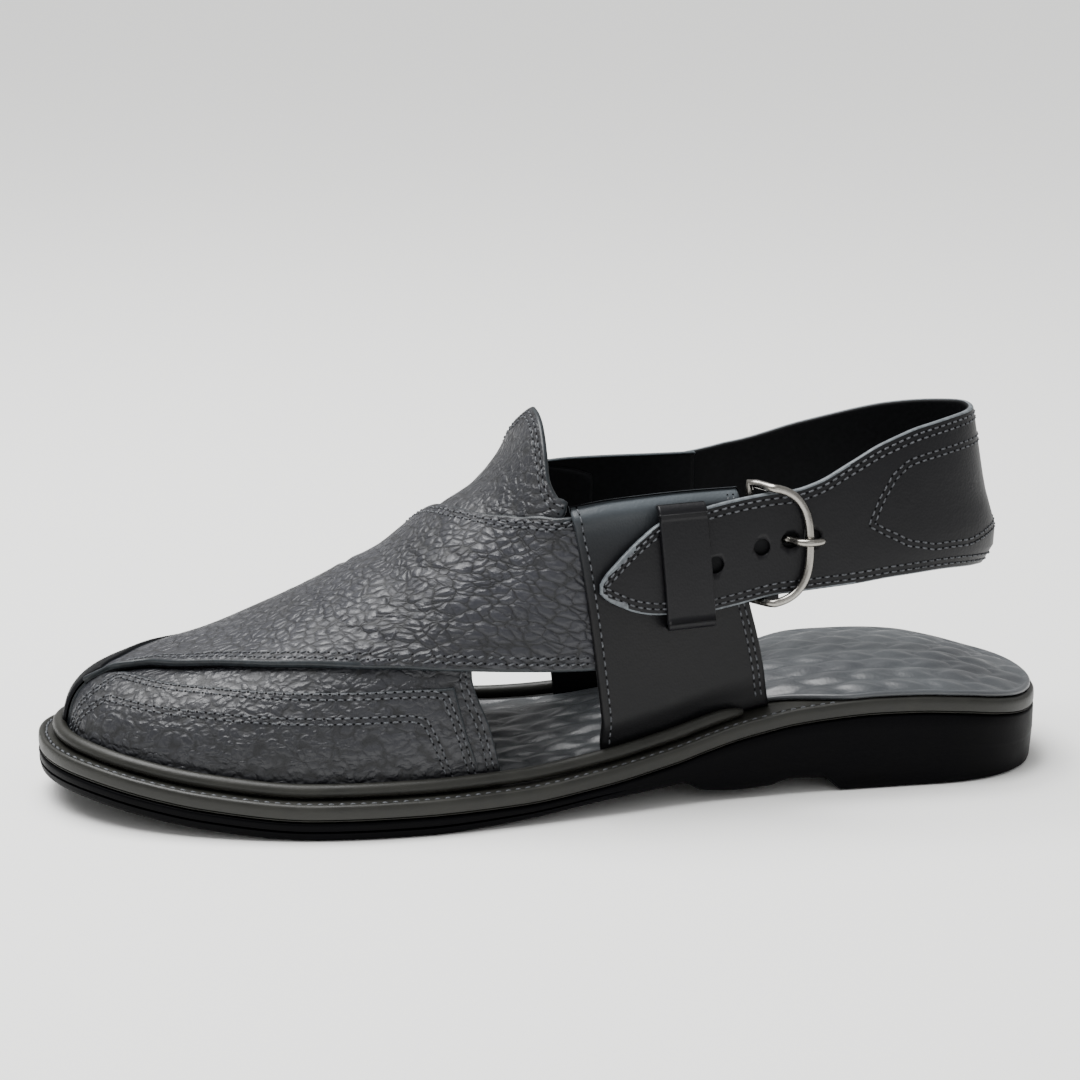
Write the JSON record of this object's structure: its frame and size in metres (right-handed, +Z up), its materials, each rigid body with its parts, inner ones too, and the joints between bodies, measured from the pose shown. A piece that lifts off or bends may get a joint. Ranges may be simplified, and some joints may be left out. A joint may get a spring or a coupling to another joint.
{
  "type": "peshawari chappal",
  "caption": "Left peshawari chappal: closed-toe leather sandal with crossed straps, side panels and a buckled heel strap on a low rubber sole.",
  "frame": {"origin": "middle of the shoe's length and width at the floor on which the sole stands", "axes": "+X from the toe to the heel, +Y to the inner side of the left foot, +Z up; the buckle is on the -Y side"},
  "size_m": [0.292, 0.1052, 0.108],
  "materials": {
    "grain_leather": "pebbled, slightly glossy, dark grey",
    "smooth_leather": "fine grain, semi-matte, charcoal",
    "footbed_leather": "quilted, soft sheen, grey",
    "welt_rubber": "satin, olive grey",
    "sole_rubber": "satin, near black",
    "polished_steel": "polished"
  },
  "bodies": {
    "root": {"outsole": "sole_rubber", "welt": "welt_rubber", "welt_bead": "welt_rubber", "insole": "footbed_leather", "upper": "grain_leather", "heel_strap": "smooth_leather", "keeper_loop": "smooth_leather", "buckle_frame": "polished_steel", "buckle_prong": "polished_steel", "buckle_tab": "smooth_leather", "buckle_guard": "smooth_leather"}
  },
  "joints": []
}
